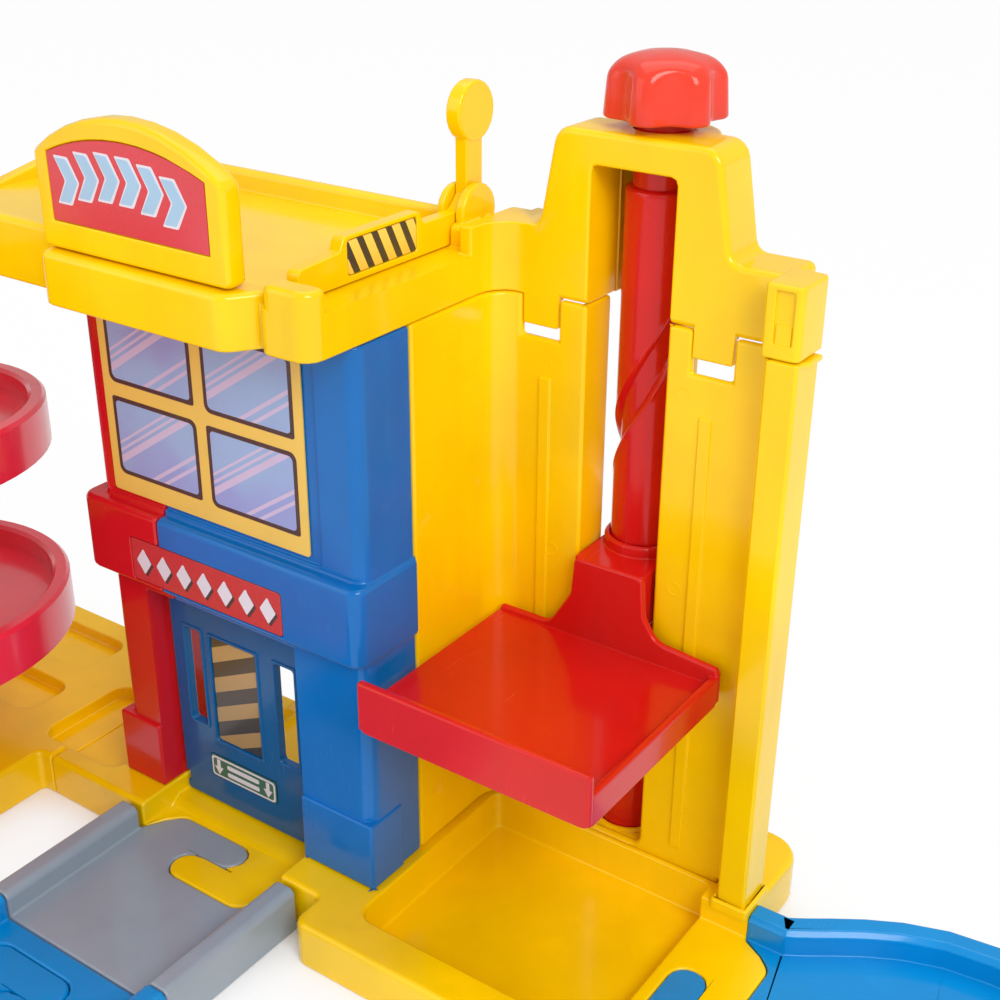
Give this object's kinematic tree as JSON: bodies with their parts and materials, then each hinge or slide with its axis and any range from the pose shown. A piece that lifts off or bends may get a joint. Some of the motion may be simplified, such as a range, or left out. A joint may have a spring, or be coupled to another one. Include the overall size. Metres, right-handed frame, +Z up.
{
  "type": "toy parking garage",
  "caption": "Toy parking garage with a screw lift in a slotted tower, a gate house with a flap door, a roof deck with a barrier, clip-on roads and a spiral ramp.",
  "frame": {"origin": "axis of the lift screw at floor level, on the base's underside", "axes": "+X runs to the right along the facade, +Y to the back, +Z up"},
  "size_m": [0.5295, 0.286, 0.2792],
  "materials": {
    "yellow": "glossy yellow moulding",
    "lift_red": "glossy red moulding",
    "house_red": "glossy red moulding",
    "house_blue": "glossy blue moulding",
    "door_blue": "glossy blue moulding",
    "track_blue": "glossy light blue moulding",
    "track_grey": "glossy grey moulding",
    "ramp_coral": "glossy coral red moulding",
    "label_red": "printed sticker",
    "label_yellow": "printed sticker",
    "label_green": "printed sticker",
    "label_dark": "printed sticker"
  },
  "bodies": {
    "garage": {"base_main": "yellow", "base_left": "yellow", "screw_collar": "yellow", "facade_left": "house_red", "facade_right": "house_blue", "window_label": "label_yellow", "lintel_label": "label_red", "tower_wall": "yellow", "roof_deck": "yellow", "sign_board": "yellow", "sign_label": "label_red", "road_grey": "track_grey", "road_blue_front": "track_blue", "road_blue_bend": "track_blue", "road_blue_right": "track_blue", "spiral_ramp": "ramp_coral", "spiral_column": "yellow"},
    "platform": {"platform": "lift_red"},
    "screw": {"lift_screw": "lift_red", "knob": "lift_red"},
    "barrier": {"barrier": "yellow", "barrier_label": "label_yellow"},
    "door": {"door": "door_blue", "door_pane": "label_dark", "door_label": "label_green"}
  },
  "joints": [
    {"name": "platform_slide", "type": "slide", "parent": "garage", "child": "platform", "axis": [0, 0, 1], "range_m": [-0.0855, 0.1235]},
    {"name": "screw_spin", "type": "hinge", "parent": "garage", "child": "screw", "pos_m": [0, 0, 0.1], "axis": [0, 0, 1], "range_deg": [-401, 278]},
    {"name": "barrier_lift", "type": "hinge", "parent": "garage", "child": "barrier", "pos_m": [-0.0595, -0.016, 0.228], "axis": [-1, 0, 0], "range_deg": [0, 90]},
    {"name": "door_swing", "type": "hinge", "parent": "garage", "child": "door", "pos_m": [-0.1095, -0.0765, 0.0943], "axis": [-1, 0, 0], "range_deg": [0, 80]}
  ],
  "couplings": [
    {"joint": "screw_spin", "follows": "platform_slide", "rad_per_m": -56.605}
  ]
}
